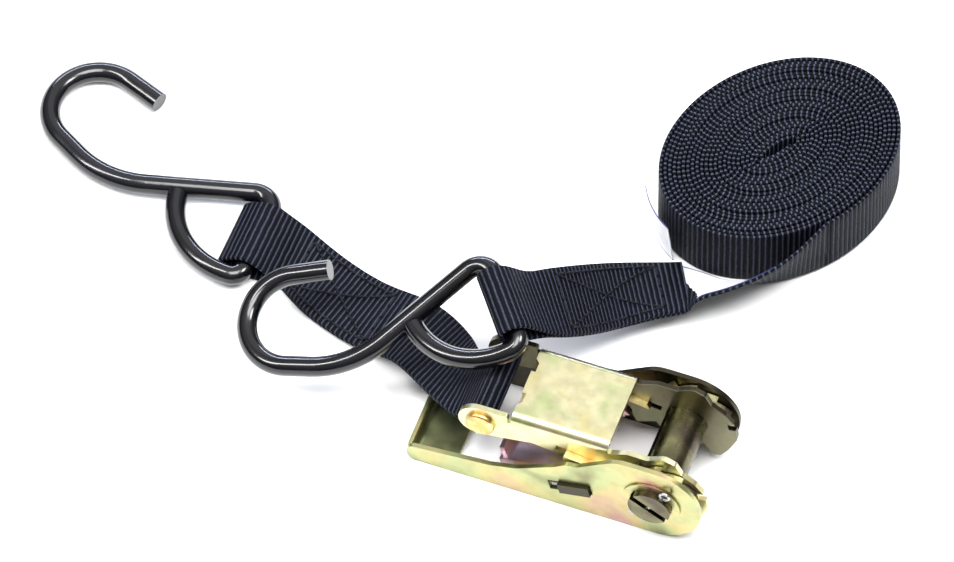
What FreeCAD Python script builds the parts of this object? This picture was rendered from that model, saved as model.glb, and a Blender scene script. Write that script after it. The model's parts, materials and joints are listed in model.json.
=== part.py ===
"""A light-duty ratchet tie-down in two pieces, lying on a flat surface.

The first piece is a ratchet, upside down with its base plate upward, on a short doubled strap
with an S-hook. The second is a long strap, wound into a flat roll, whose free end is sewn round
a second S-hook. Millimetres, +Z up, the surface is z = 0, and the origin is the middle of the
footprint. +X runs along the ratchet from its strap rivet to its mandrel, +Y along the mandrel.
"""
import FreeCAD, Part
import math
import os

from FreeCAD import Matrix, Vector

# ---- Where things stand ----
MANDREL_AXIS = Vector(119.35, -76.3, 19.2)   # middle of the winding mandrel
ROLL_CENTRE = Vector(112.45, 57.4, 0.0)      # middle of the wound strap
# Each hook: middle of its eye bar, direction to its open bend, and its plane's rise along X and Y.
SHORT_HOOK_BAR, SHORT_HOOK_TURN, SHORT_HOOK_RISE = Vector(-56.91, -32.35, 5.65), 178.4, (0.019, 0.0)
LONG_HOOK_BAR, LONG_HOOK_TURN, LONG_HOOK_RISE = Vector(47.35, -53.6, 46.6), 218.3, (0.278, 0.327)
LEAD_DROP = 55.0        # the lead leaves this far below the long hook's own plane
LEAD_LOOP_OFFSET = 0.5  # and its loop sits this far off the middle of the bar

# ---- Webbing ----
WEB_WIDTH = 27.0
WEB_THICK = 1.5
LOOP_GAP = 0.6          # webbing to the bar or rivet that it goes round
WEB_LIFT = 0.12         # the short strap lies this far off the surface
SHORT_LOOP_OFFSET = 0.8 # and its loop sits this far off the middle of the bar
LOOP_REACH = 14.0       # bar or rivet centre to where the two layers meet
THREAD_RADIUS = 0.4

RIVET_LOOP_FALL = 40.0  # the short strap leaves the rivet this steeply
SHORT_STRAP_TILT = 11.0 # its far edge is higher, under the second hook

# Each doubled strap's middle line between its two sewn loops, or from its loop to its sewn end.
SHORT_STRAP_ROUTE = [Vector(-31.65, -38.2, 1.95), Vector(-17.65, -44.6, 3.4), Vector(-3.65, -49.2, 5.8),
                     Vector(12.35, -54.0, 11.0), Vector(27.35, -63.2, 13.8)]
LEAD_ROUTE = [Vector(65.85, -31.2, 27.0), Vector(74.35, -17.4, 15.0), Vector(84.05, -6.9, 8.0)]
LEAD_END_FAR = Vector(90.75, 13.4, 0.85)     # corners of that end
LEAD_END_NEAR = Vector(102.55, -9.6, 8.2)
LEAD_LAYERS = (-WEB_THICK / 2, WEB_THICK * 1.5)
# Beyond it the outer wrap leans away from the roll: (direction, tilt), upright at the last.
FALLEN_WRAP = [(-97, 37), (-89, 47), (-80, 57), (-71, 66), (-61, 76), (-51, 85), (-43, 90)]
LABEL_WIDTH = 24.0
LABEL_THICK = 0.4
CURL_START = -121.0     # the label's other leaf, round the roll from here
CURL_STEP = -4.5

# ---- Ratchet frame: a U of sheet, cheeks outside, base plate on top ----
FRAME_SHEET = 2.0
FRAME_HALF_WIDTH = 17.0
FRAME_BEND = 3.5
PLATE_TOP = 18.0        # outer face of the base plate above the mandrel axis
PLATE_NEAR_RIVET = -56.0
PLATE_NEAR_MANDREL = -19.0
RIVET_X = -67.5
RIVET_Z = 9.75
RIVET_RADIUS = 3.0
EAR_RADIUS = 8.5
CAM_CLEAR_RADIUS = 13.2 # cheek edge over the working stroke of the handle
SHAFT_CLEARANCE = 0.08

# ---- Winding mandrel and ratchet wheels ----
MANDREL_RADIUS = 8.0
MANDREL_HALF_LENGTH = 25.8
STRAP_SLOT = 2.5
PIN_Y = 24.3            # split pins, outside the handle arms
PIN_RADIUS = 0.9
SLOT_ANGLE = -32.0
WHEEL_INNER_FACE = 17.35
WHEEL_THICK = 2.8
TOOTH_COUNT = 12
TIP_RADIUS = 17.0
ROOT_RADIUS = 13.6
RAMP_ANGLE = 27.0       # of each 30 degree tooth, the rest is its locking face and root

# ---- Handle ----
ARM_SHEET = 1.8
ARM_INNER_FACE = 20.6
HANDLE_REST_Z = -19.2   # outer face of the grip web, the face that the ratchet lies on
GRIP_END_X = -94.0
GRIP_WEB_END_X = -76.0
ARM_END_RADIUS = 18.4

# ---- Pawls: flat plates that slide straight towards the mandrel axis ----
PAWL_THICK = 2.5
PAWL_SLOT_GAP = 0.15
PAWL_TRAVEL = 3.6
LOCK_PAWL_ANGLE = 170.0
LOCK_PAWL_TIP = 13.8
LOCK_PAWL_REAR = 47.0
DRIVE_PAWL_ANGLE = 194.0
DRIVE_PAWL_TIP = 21.75
DRIVE_PAWL_REAR = 62.0
SPRING_RADIUS = 2.3
SPRING_WIRE = 0.35

# ---- S-hook: one bent round bar ----
WIRE_RADIUS = 3.75
BEND_CENTRE = (75.0, 33.7)
BEND_RADIUS = 17.7
BEND_START = 110.0      # directions round that centre, from the tip's end of the bend
TIP_STRAIGHT = 14.2
BEND_LEG_HEADING = 209.0
BEND_LEG = 10.2
WAIST_RADIUS = 37.2
SHANK_HEADING = 164.5
SHANK_LENGTH = 40.0
BAR_CORNER_RADIUS = 7.0
EYE_FOOT = -11.8        # end of the straight bar, before the eye's corner
EYE_CORNER_RADIUS = 4.5
EYE_RADIUS = 30.5
EYE_END = 352.8

# ---- Wound roll ----
ROLL_HALF_LONG = 48.1
ROLL_HALF_SHORT = 36.7
ROLL_TURN = 55.0        # direction of its longer half axis
CORE_LENGTH = 13.0
CORE_WIDTH = 2.2

X, Y, Z = Vector(1, 0, 0), Vector(0, 1, 0), Vector(0, 0, 1)


# ---------------------------------------------------------------- helpers
def box(x0, x1, y0, y1, z0, z1):
    return Part.makeBox(x1 - x0, y1 - y0, z1 - z0, Vector(x0, y0, z0))


def cylinder_y(radius, y0, y1, x=0.0, z=0.0):
    return Part.makeCylinder(radius, y1 - y0, Vector(x, y0, z), Y)


def polar(radius, degrees):
    """A point of the side view: x to the right, z up."""
    a = math.radians(degrees)
    return radius * math.cos(a), radius * math.sin(a)


def rounded_outline(points):
    """A closed side-view wire through (x, z, corner radius) points, with arcs at the corners."""
    edges, joints = [], []
    count = len(points)
    for i, (x, z, radius) in enumerate(points):
        here = Vector(x, 0, z)
        before, after = points[i - 1], points[(i + 1) % count]
        back = (Vector(before[0], 0, before[1]) - here).normalize()
        ahead = (Vector(after[0], 0, after[1]) - here).normalize()
        half = back.getAngle(ahead) / 2
        if radius < 0.01 or half > math.radians(89.5):
            joints.append((here, None, here))
            continue
        reach = radius / math.tan(half)
        middle = here + (back + ahead).normalize() * (radius / math.sin(half) - radius)
        joints.append((here + back * reach, middle, here + ahead * reach))
    for i, (start, middle, end) in enumerate(joints):
        if middle is not None:
            edges.append(Part.Arc(start, middle, end).toShape())
        following = joints[(i + 1) % count][0]
        if (following - end).Length > 1e-4:
            edges.append(Part.LineSegment(end, following).toShape())
    return Part.Wire(edges)


def prism_y(wire, y0, y1):
    face = Part.Face(wire)
    face.translate(Vector(0, y0, 0))
    return face.extrude(Vector(0, y1 - y0, 0))


def ring_sector(inner, outer, start, end, y0, y1):
    """Part of a flat ring round the mandrel axis, between two side-view angles."""
    middle = (start + end) / 2
    corners = [Vector(r_a[0], 0, r_a[1]) for r_a in (
        polar(inner, start), polar(inner, middle), polar(inner, end),
        polar(outer, end), polar(outer, middle), polar(outer, start))]
    wire = Part.Wire([
        Part.Arc(corners[0], corners[1], corners[2]).toShape(),
        Part.LineSegment(corners[2], corners[3]).toShape(),
        Part.Arc(corners[3], corners[4], corners[5]).toShape(),
        Part.LineSegment(corners[5], corners[0]).toShape()])
    return prism_y(wire, y0, y1)


def radial_bar(angle, r0, r1, offset0, offset1, y0, y1):
    """A box along a ray from the mandrel axis. Offsets are square to the ray, towards the base plate."""
    bar = box(r0, r1, y0, y1, offset0, offset1)
    if abs(angle) > 90:
        bar = box(-r1, -r0, y0, y1, offset0, offset1)
        angle -= 180
    bar.rotate(Vector(), Y, -angle)
    return bar


def mirrored(shape):
    """The shape with its copy on the other side of the ratchet's middle plane."""
    return shape.fuse(shape.mirror(Vector(), Y))


def on_ratchet(shape):
    placed = shape.copy()
    placed.translate(MANDREL_AXIS)
    return placed


# ---------------------------------------------------------------- ratchet frame
def cheek_outline():
    """Side view of a cheek: the ear round the strap rivet, the arm, and the handle's cam."""
    ear_left = RIVET_X - EAR_RADIUS
    ear_low = RIVET_Z - EAR_RADIUS
    bend_low = PLATE_TOP - FRAME_BEND
    cam = [(20.6, 123, 3), (17.6, 103, 3), (20.9, 84, 2.5), (20.2, 70, 1.5), (16.8, 56, 2),
           (18.0, 37, 3), (19.2, 16, 1), (19.8, -7, 6), (19.4, -34, 5), (20.5, -50, 2)]
    points = [
        (ear_left, ear_low, EAR_RADIUS - 1.5), (ear_left, PLATE_TOP - 0.2, EAR_RADIUS - 0.3),
        (PLATE_NEAR_RIVET - 1.2, PLATE_TOP - 0.2, 1.0), (PLATE_NEAR_RIVET - 1.2, bend_low, 0),
        (PLATE_NEAR_MANDREL + 1.2, bend_low, 0)]
    points += [polar(r, a) + (corner_radius,) for r, a, corner_radius in cam]
    points += [polar(19, -59) + (0,), polar(24, -110) + (0,), polar(21.4, -151) + (0,)]
    points += [polar(21.4, -163) + (1.5,), polar(21.4, -176) + (3,), (-30.5, -0.6, 5),
               (-38, 4.4, 6), (-48, 6.2, 6), (-60, 3.6, 5)]
    return rounded_outline(points)


def base_frame():
    low = WHEEL_INNER_FACE - 0.35 - FRAME_SHEET
    cheek = prism_y(cheek_outline(), low, FRAME_HALF_WIDTH)
    cheek = cheek.cut(ring_sector(CAM_CLEAR_RADIUS, 40, -152, -59, low - 1, FRAME_HALF_WIDTH + 1))
    hold_notch = radial_bar(14, 16.2, 30, -1.7, 1.7, low - 1, FRAME_HALF_WIDTH + 1)
    pawl_slot = radial_bar(LOCK_PAWL_ANGLE, 10, 39.5, -PAWL_SLOT_GAP, PAWL_THICK + PAWL_SLOT_GAP,
                           low - 1, FRAME_HALF_WIDTH + 1)
    cheek = cheek.cut(hold_notch).cut(pawl_slot)
    cheek = cheek.cut(cylinder_y(MANDREL_RADIUS + SHAFT_CLEARANCE, low - 1, FRAME_HALF_WIDTH + 1))
    cheek = cheek.cut(cylinder_y(RIVET_RADIUS, low - 1, FRAME_HALF_WIDTH + 1, RIVET_X, RIVET_Z))

    # The U-bend: base plate with its two rounded edges.
    length = PLATE_NEAR_MANDREL - PLATE_NEAR_RIVET
    bend_low = PLATE_TOP - FRAME_BEND
    outer = box(PLATE_NEAR_RIVET, PLATE_NEAR_MANDREL, -FRAME_HALF_WIDTH, FRAME_HALF_WIDTH,
                bend_low - 1, PLATE_TOP)
    top_edges = [e for e in outer.Edges
                 if abs(e.Length - length) < 0.01 and e.BoundBox.ZMin > PLATE_TOP - 0.01]
    outer = outer.makeFillet(FRAME_BEND, top_edges)
    inner = box(PLATE_NEAR_RIVET - 1, PLATE_NEAR_MANDREL + 1, -low, low,
                bend_low - 3, PLATE_TOP - FRAME_SHEET)
    inner_edges = [e for e in inner.Edges
                   if abs(e.Length - length - 2) < 0.01 and e.BoundBox.ZMin > PLATE_TOP - 2.1]
    inner = inner.makeFillet(FRAME_BEND - FRAME_SHEET, inner_edges)
    plate = outer.cut(inner)

    # The strap-side edge has a shallow notch, where the pawl spring's stop tab is bent down.
    notch = rounded_plan_notch()
    tab = box(PLATE_NEAR_RIVET, PLATE_NEAR_RIVET + 1.6, -5, 5, 5.5, PLATE_TOP - 0.6)
    frame = plate.cut(notch).fuse(mirrored(cheek)).fuse(tab)
    return on_ratchet(frame.removeSplitter())


def rounded_plan_notch():
    """A trapezoid cut into the base plate's edge beside the rivet."""
    x = PLATE_NEAR_RIVET
    corners = [(x - 1, -11.5), (x - 1, 11.5), (x + 1.6, 9), (x + 1.6, 5), (x, 5), (x, -5),
               (x + 1.6, -5), (x + 1.6, -9)]
    wire = Part.makePolygon([Vector(a, b, 10) for a, b in corners + corners[:1]])
    return Part.Face(wire).extrude(Z * 20)


def strap_rivet():
    half = FRAME_HALF_WIDTH
    shank = cylinder_y(RIVET_RADIUS, -half, half, RIVET_X, RIVET_Z)
    # A domed factory head on the near side and a smaller riveted-over head on the far side.
    head = cylinder_y(5.6, -half - 1.9, -half, RIVET_X, RIVET_Z)
    outer_rim = [e for e in head.Edges if e.BoundBox.YMax < -half - 1.8]
    head = head.makeFillet(1.2, outer_rim)
    tail = cylinder_y(4.6, half, half + 1.3, RIVET_X, RIVET_Z)
    tail_rim = [e for e in tail.Edges if e.BoundBox.YMin > half + 1.2]
    tail = tail.makeFillet(0.7, tail_rim)
    return on_ratchet(shank.fuse(head).fuse(tail))


# ---------------------------------------------------------------- pawls and springs
def nose_cut(angle, tip, y_reach):
    """Removes the back of a pawl's nose, so that its lower edge is the point."""
    slope = math.tan(math.radians(32))
    wire = rounded_outline([(tip - 1, -0.01, 0), (tip, -0.01, 0),
                            (tip + (PAWL_THICK + 0.1) * slope, PAWL_THICK + 0.1, 0),
                            (tip - 1, PAWL_THICK + 0.1, 0)])
    wedge = prism_y(wire, -y_reach, y_reach)
    wedge = wedge.mirror(Vector(), X)
    wedge.rotate(Vector(), Y, -(angle - 180))
    return wedge


def lock_pawl():
    """Slides in the cheeks under the base plate and stops both wheels."""
    angle, tip, rear = LOCK_PAWL_ANGLE, LOCK_PAWL_TIP, LOCK_PAWL_REAR
    ear_end = WHEEL_INNER_FACE + WHEEL_THICK - 0.05
    body = radial_bar(angle, 24, rear, 0, PAWL_THICK, -14.6, 14.6)
    ears = radial_bar(angle, tip, 35.5, 0, PAWL_THICK, -ear_end, ear_end)
    # Clear of the spool of webbing between the cheeks.
    spool = radial_bar(angle, tip - 5, 24, -1, PAWL_THICK + 1, -13.5, 13.5)
    spring_slot = radial_bar(angle, 36, rear + 1, -1, PAWL_THICK + 1, -3, 3)
    pawl = body.fuse(ears).cut(spool).cut(spring_slot).cut(nose_cut(angle, tip, 30))
    return on_ratchet(pawl.removeSplitter())


def coil_spring(angle, r0, r1, turns):
    """A small compression spring whose axis lies in its pawl's middle plane."""
    length = r1 - r0
    helix = Part.makeHelix(length / turns, length, SPRING_RADIUS)
    start = Part.Wire(Part.makeCircle(SPRING_WIRE, Vector(SPRING_RADIUS, 0, 0), Y))
    coil = Part.Wire(helix.Edges).makePipeShell([start], True, True)
    coil.rotate(Vector(), Y, 90)
    coil.translate(Vector(r0, 0, PAWL_THICK / 2))
    coil = coil.mirror(Vector(), X)
    coil.rotate(Vector(), Y, -(angle - 180))
    return on_ratchet(coil)


def lock_pawl_spring():
    return coil_spring(LOCK_PAWL_ANGLE, 37.0, 53.6, 7)


def drive_pawl_spring():
    return coil_spring(DRIVE_PAWL_ANGLE, 35.4, 46.4, 6)


def drive_pawl():
    """The pull plate inside the handle. Its ears stand out through the arms."""
    angle, tip, rear = DRIVE_PAWL_ANGLE, DRIVE_PAWL_TIP, DRIVE_PAWL_REAR
    inside = ARM_INNER_FACE - 0.25
    plate = radial_bar(angle, tip, rear, 0, PAWL_THICK, -inside, inside)
    narrow = radial_bar(angle, 42, rear + 1, -1, PAWL_THICK + 1, 15.5, inside + 1)
    plate = plate.cut(mirrored(narrow))
    ear_reach = ARM_INNER_FACE + ARM_SHEET + 1.5
    ears = radial_bar(angle, 24, 36, -1.2, PAWL_THICK + 1.2, -ear_reach, ear_reach)
    plate = plate.fuse(ears)
    window = radial_bar(angle, 35, 50.5, -3, PAWL_THICK + 3, -3.4, 3.4)
    spool = radial_bar(angle, tip - 1, 25, -3, PAWL_THICK + 3, -13.5, 13.5)
    lip = radial_bar(angle, rear - 1.6, rear, PAWL_THICK, PAWL_THICK + 3.5, -13, 13)
    pawl = plate.cut(window).cut(spool).fuse(lip).cut(nose_cut(angle, tip, 30))
    return on_ratchet(pawl.removeSplitter())


# ---------------------------------------------------------------- winding drum
def half_round(sign, radius, flat, y0, y1):
    """One side of a slotted shaft."""
    bar = cylinder_y(radius, y0, y1)
    keep = box(-20, 20, y0 - 1, y1 + 1, flat, 20)
    if sign < 0:
        keep = box(-20, 20, y0 - 1, y1 + 1, -20, -flat)
    half = bar.common(keep)
    half.rotate(Vector(), Y, -SLOT_ANGLE)
    return half


def pin_bore(radius):
    """The cross bores for both split pins, square to the strap slot."""
    bore = Part.makeCylinder(radius, 40, Vector(0, PIN_Y, -20), Z)
    bores = mirrored(bore)
    bores.rotate(Vector(), Y, -SLOT_ANGLE)
    return bores


def mandrel_half(sign):
    half = half_round(sign, MANDREL_RADIUS, STRAP_SLOT / 2, -MANDREL_HALF_LENGTH, MANDREL_HALF_LENGTH)
    return on_ratchet(half.cut(pin_bore(PIN_RADIUS + 0.05)))


def ratchet_wheel(side):
    """Teeth that rise evenly with the angle and drop along a radial face."""
    pitch = 360.0 / TOOTH_COUNT
    first = LOCK_PAWL_ANGLE - 0.6
    steps = 5
    points = []
    for tooth in range(TOOTH_COUNT):
        root = first - tooth * pitch
        for step in range(steps + 1):
            share = step / steps
            points.append(polar(ROOT_RADIUS + (TIP_RADIUS - ROOT_RADIUS) * share,
                                root - RAMP_ANGLE * share) + (0,))
        points.append(polar(ROOT_RADIUS, root - RAMP_ANGLE - 0.4) + (0,))
    wheel = prism_y(rounded_outline(points), WHEEL_INNER_FACE, WHEEL_INNER_FACE + WHEEL_THICK)
    for sign in (-1, 1):
        wheel = wheel.cut(half_round(sign, MANDREL_RADIUS + 0.05, STRAP_SLOT / 2 - 0.05, 10, 30))
    if side < 0:
        wheel = wheel.mirror(Vector(), Y)
    return on_ratchet(wheel)


def washer(side):
    inner_face = ARM_INNER_FACE + ARM_SHEET + 0.1
    ring = cylinder_y(11.0, inner_face, inner_face + 0.7)
    ring = ring.cut(cylinder_y(MANDREL_RADIUS + 0.1, inner_face - 1, inner_face + 2))
    if side < 0:
        ring = ring.mirror(Vector(), Y)
    return on_ratchet(ring)


def split_pin(side):
    """An eye at one end, a doubled shank through the mandrel, and two legs bent apart."""
    reach = MANDREL_RADIUS + 1.0
    shank = Part.makeCylinder(PIN_RADIUS, 2 * reach, Vector(0, 0, -reach), Z)
    eye = Part.makeTorus(1.7, 0.55, Vector(0, 0, reach + 1.4), Y)
    pin = shank.fuse(eye)
    for sign in (-1, 1):
        leg = Part.makeCylinder(0.55, 3.4, Vector(sign * 0.2, 0, -reach + 0.5),
                                Vector(sign * 0.85, 0, -0.6))
        pin = pin.fuse(leg)
    pin.translate(Vector(0, side * PIN_Y, 0))
    pin.rotate(Vector(), Y, -SLOT_ANGLE)
    return on_ratchet(pin)


# ---------------------------------------------------------------- handle
def arm_outline():
    """Side view of a handle arm: grip at the left, round end about the mandrel at the right."""
    return rounded_outline([
        (GRIP_END_X, HANDLE_REST_Z, 4), (-16, HANDLE_REST_Z, 30), (ARM_END_RADIUS, HANDLE_REST_Z, 18.3),
        (ARM_END_RADIUS, ARM_END_RADIUS, 18.3), (-14, ARM_END_RADIUS, 12), (-29, 7.5, 2),
        (-33, 7.0, 2), (-38, 3.2, 4), (-52, -5.0, 10), (-62, -7.9, 10), (GRIP_END_X, -11.4, 3)])


def handle_frame():
    inner, outer = ARM_INNER_FACE, ARM_INNER_FACE + ARM_SHEET
    arm = prism_y(arm_outline(), inner, outer)
    arm = arm.cut(cylinder_y(MANDREL_RADIUS + SHAFT_CLEARANCE, inner - 1, outer + 1))
    slot = radial_bar(DRIVE_PAWL_ANGLE, 23.4, 36 + PAWL_TRAVEL + 0.6, -1.2 - PAWL_SLOT_GAP,
                      PAWL_THICK + 1.2 + PAWL_SLOT_GAP, inner - 1, outer + 1)
    arm = arm.cut(slot)
    low = HANDLE_REST_Z
    # Grip: the web between the arms, rolled up at the free end.
    grip_profile = rounded_outline([
        (GRIP_END_X, low, 4), (GRIP_WEB_END_X, low, 0), (GRIP_WEB_END_X, low + ARM_SHEET, 0),
        (GRIP_END_X + ARM_SHEET, low + ARM_SHEET, 2.2), (GRIP_END_X + ARM_SHEET, -11.4, 0.6),
        (GRIP_END_X, -11.4, 0.6)])
    grip = prism_y(grip_profile, -inner - 0.5, inner + 0.5)
    bridge = box(-56, -46.5, -inner - 0.5, inner + 0.5, low, low + ARM_SHEET)
    # The spring's stop tab stands through the pull plate's window.
    tab = box(-47.4, -45.8, -3, 3, low, -8.2)
    handle = mirrored(arm).fuse(grip).fuse(bridge).fuse(tab)
    return on_ratchet(handle.removeSplitter())


# ---------------------------------------------------------------- S-hooks
def hook_path():
    """The centre line in its own plane, with the open bend at large x, and the eye bar's middle."""
    edges = []

    def line(start, end):
        edges.append(Part.LineSegment(start, end).toShape())

    def arc(centre, radius, start, end):
        points = [centre + Vector(*polar(radius, a)) for a in (start, (start + end) / 2, end)]
        edges.append(Part.Arc(*points).toShape())
        return points[2]

    def heading(degrees):
        return Vector(*polar(1.0, degrees))

    def step(place, degrees, distance):
        end = place + heading(degrees) * distance
        line(place, end)
        return end

    bend = Vector(BEND_CENTRE[0], BEND_CENTRE[1], 0)
    start = bend + Vector(*polar(BEND_RADIUS, BEND_START))
    line(start + heading(BEND_START + 90) * TIP_STRAIGHT, start)
    waist, shank = BEND_LEG_HEADING - 270, SHANK_HEADING - 270
    here = arc(bend, BEND_RADIUS, BEND_START, waist)
    here = step(here, BEND_LEG_HEADING, BEND_LEG)
    here = arc(here + heading(BEND_LEG_HEADING - 90) * WAIST_RADIUS, WAIST_RADIUS, waist, shank)
    here = step(here, SHANK_HEADING, SHANK_LENGTH)
    corner = here + heading(SHANK_HEADING + 90) * BAR_CORNER_RADIUS
    here = arc(corner, BAR_CORNER_RADIUS, SHANK_HEADING - 90, 180)
    foot = Vector(here.x, EYE_FOOT, 0)
    line(here, foot)
    middle = (here + foot) * 0.5
    here = arc(foot + X * EYE_CORNER_RADIUS, EYE_CORNER_RADIUS, 180, 270)
    arc(here + Y * EYE_RADIUS, EYE_RADIUS, 270, EYE_END)
    return Part.Wire(edges), middle


def s_hook(place, turn, rise):
    """One hook with its eye bar's middle at a place, and the way its plane lies."""
    path, bar_middle = hook_path()
    start = path.Edges[0]
    first = start.Curve.value(start.FirstParameter)
    along = start.tangentAt(start.FirstParameter)
    profile = Part.Wire(Part.makeCircle(WIRE_RADIUS, first, along))
    solid = path.makePipeShell([profile], True, True)
    solid.translate(-bar_middle)
    up = Vector(-rise[0], -rise[1], 1).normalize()
    ahead = Vector(*polar(1.0, turn))
    ahead = (ahead - up * ahead.dot(up)).normalize()
    side = ahead.cross(up)
    turned = Matrix(ahead.x, side.x, -up.x, place.x,
                    ahead.y, side.y, -up.y, place.y,
                    ahead.z, side.z, -up.z, place.z, 0, 0, 0, 1)
    solid.transformShape(turned, True)
    return solid, ahead, side, up


# ---------------------------------------------------------------- webbing
def hull(points):
    """The convex outline of flat (a, b) points, anticlockwise."""
    ordered = sorted(set(points))

    def chain(sequence):
        kept = []
        for p in sequence:
            while len(kept) > 1:
                (ax, ay), (bx, by) = kept[-2], kept[-1]
                if (bx - ax) * (p[1] - ay) - (by - ay) * (p[0] - ax) > 1e-9:
                    break
                kept.pop()
            kept.append(p)
        return kept[:-1]

    return chain(ordered) + chain(ordered[::-1])


def belt_outline(circles, corners):
    """The outline of a belt round (a, b, radius) circles and (a, b) corners."""
    points = list(corners)
    for a, b, radius in circles:
        for step in range(24):
            da, db = polar(radius, step * 15)
            points.append((round(a + da, 5), round(b + db, 5)))
    return hull(points)


def webbing_loop(centre, along, across, circles, low):
    """A sewn loop. Circles are its inner bends, and low is the lower face where its layers meet."""
    up = across.cross(along)
    if up.z < 0:
        up = -up
    outer = belt_outline([(a, b, r + WEB_THICK) for a, b, r in circles],
                         [(LOOP_REACH, low), (LOOP_REACH, low + 2 * WEB_THICK)])
    inner = belt_outline(circles, [(LOOP_REACH - 2.0, low + WEB_THICK)])

    def slab(outline):
        corners = [centre + along * a + up * b - across * (WEB_WIDTH / 2) for a, b in outline]
        return Part.Face(Part.makePolygon(corners + corners[:1])).extrude(across * WEB_WIDTH)

    return slab(outer).cut(slab(inner))


def band_section(middle, across, normal, low, high, width=WEB_WIDTH):
    corners = [middle + across * (side * width / 2) + normal * level
               for side, level in ((-1, low), (1, low), (1, high), (-1, high))]
    return Part.makePolygon(corners + corners[:1])


def plan(degrees):
    return Vector(*polar(1.0, degrees))


def hook_loop_frame():
    """Middle of the short strap's loop, the way that it leaves, and the direction of the bar."""
    along = -plan(SHORT_HOOK_TURN)
    across = Z.cross(along)
    return SHORT_HOOK_BAR + across * SHORT_LOOP_OFFSET, along, across


def rivet_loop_frame():
    """Where the short strap goes round the rivet, and the way that it leaves."""
    centre = MANDREL_AXIS + Vector(RIVET_X, 0.8, RIVET_Z)
    fall = polar(1.0, 180 + RIVET_LOOP_FALL)
    return centre, Vector(fall[0], 0, fall[1])


def short_strap_route():
    """Middle line of the doubled strap from the hook's loop to the rivet's."""
    loop_middle, loop_along, _ = hook_loop_frame()
    first = loop_middle + loop_along * LOOP_REACH
    first.z = WEB_THICK + WEB_LIFT
    centre, along = rivet_loop_frame()
    curve = Part.BSplineCurve()
    curve.interpolate([first] + SHORT_STRAP_ROUTE + [centre + along * LOOP_REACH])
    return curve


def short_strap_station(curve, share):
    """Middle, across and normal of the short strap at a share of its length."""
    u = curve.FirstParameter + (curve.LastParameter - curve.FirstParameter) * share
    middle = curve.value(u)
    ahead = Vector(*curve.tangent(u)[0]).normalize()
    start_across = hook_loop_frame()[2]
    if share == 0.0:
        return middle, start_across, Z
    if share == 1.0:
        return middle, Y, -rivet_loop_frame()[1].cross(Y)
    flat = Vector(-ahead.y, ahead.x, 0).normalize()
    blend = math.sin(math.pi * share)
    end_across = start_across if share < 0.5 else Y
    across = (end_across * (1 - blend) + flat * blend).normalize()
    room = max(0.0, middle.z - WEB_THICK) / (WEB_WIDTH / 2)
    tilt = min(math.radians(SHORT_STRAP_TILT) * blend, 0.7 * room)
    across = (across * math.cos(tilt) + Z * math.sin(tilt)).normalize()
    return middle, across, ahead.cross(across).normalize()


def short_strap_webbing():
    curve = short_strap_route()
    steps = 16
    sections = [band_section(*short_strap_station(curve, step / steps), -WEB_THICK, WEB_THICK)
                for step in range(steps + 1)]
    body = Part.makeLoft(sections, True, True)
    low = WEB_LIFT - SHORT_HOOK_BAR.z
    bends = [(-8.0, 1.9 + WEB_THICK + low, 1.9), (0, 0, WIRE_RADIUS + LOOP_GAP)]
    hook_loop = webbing_loop(*hook_loop_frame(), bends, low)
    centre, along = rivet_loop_frame()
    rivet_loop = webbing_loop(centre, along, Y, [(0, 0, RIVET_RADIUS + LOOP_GAP)], -WEB_THICK)
    return body.fuse(hook_loop).fuse(rivet_loop)


def roll_radius(degrees):
    """Radius of the wound roll in a direction of the plan view."""
    turn = math.radians(degrees - ROLL_TURN)
    a, b = ROLL_HALF_LONG, ROLL_HALF_SHORT
    return a * b / math.hypot(b * math.cos(turn), a * math.sin(turn))


def rim_station(degrees, tilt, low=0.8):
    """The outer wrap leaning outward from the roll's lower rim, tilt 90 where it stands upright."""
    out = plan(degrees)
    lean = math.radians(tilt)
    rise = out * math.cos(lean) + Z * math.sin(lean)
    normal = Z * math.cos(lean) - out * math.sin(lean)
    foot = ROLL_CENTRE + out * (roll_radius(degrees) + low) + Z * low
    return foot + rise * (WEB_WIDTH / 2), -rise, normal


def lead_route(along, side):
    """Middle line of the doubled lead, from the hook's loop down to its sewn end."""
    start = LONG_HOOK_BAR + side * LEAD_LOOP_OFFSET + along * LOOP_REACH
    end = (LEAD_END_FAR + LEAD_END_NEAR) * 0.5
    curve = Part.BSplineCurve()
    curve.interpolate([start] + LEAD_ROUTE + [end])
    return curve


def lead_station(curve, share, bar_side):
    u = curve.FirstParameter + (curve.LastParameter - curve.FirstParameter) * share
    middle = curve.value(u)
    ahead = Vector(*curve.tangent(u)[0]).normalize()
    end_across = (LEAD_END_FAR - LEAD_END_NEAR).normalize()
    across = bar_side * (1 - share) + end_across * share
    across = (across + Z * (0.5 * share * (1 - share) ** 2 * 4)).normalize()
    normal = ahead.cross(across).normalize()
    return middle, across, normal


def lead_loop_direction(ahead, up):
    """The way that the lead leaves its hook."""
    drop = math.radians(LEAD_DROP)
    return (ahead * -math.cos(drop) - up * math.sin(drop)).normalize()


def long_strap_lead(ahead, side, up):
    along = lead_loop_direction(ahead, up)
    curve = lead_route(along, side)
    steps = 12
    low, high = LEAD_LAYERS
    stations = [lead_station(curve, step / steps, side) for step in range(steps + 1)]
    stations[0] = (stations[0][0], side, along.cross(side).normalize())
    doubled = Part.makeLoft([band_section(*at, low, high) for at in stations], True, True)
    wrap_stations = stations[-1:] + [rim_station(*lean) for lean in FALLEN_WRAP]
    wrap = Part.makeLoft([band_section(*at, low, -low) for at in wrap_stations], True, True)
    loop = webbing_loop(LONG_HOOK_BAR + side * LEAD_LOOP_OFFSET, along, side,
                        [(-2.5, 0, 4.1), (0, 0, WIRE_RADIUS + LOOP_GAP)], low)
    return loop.fuse(doubled).fuse(wrap)


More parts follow.
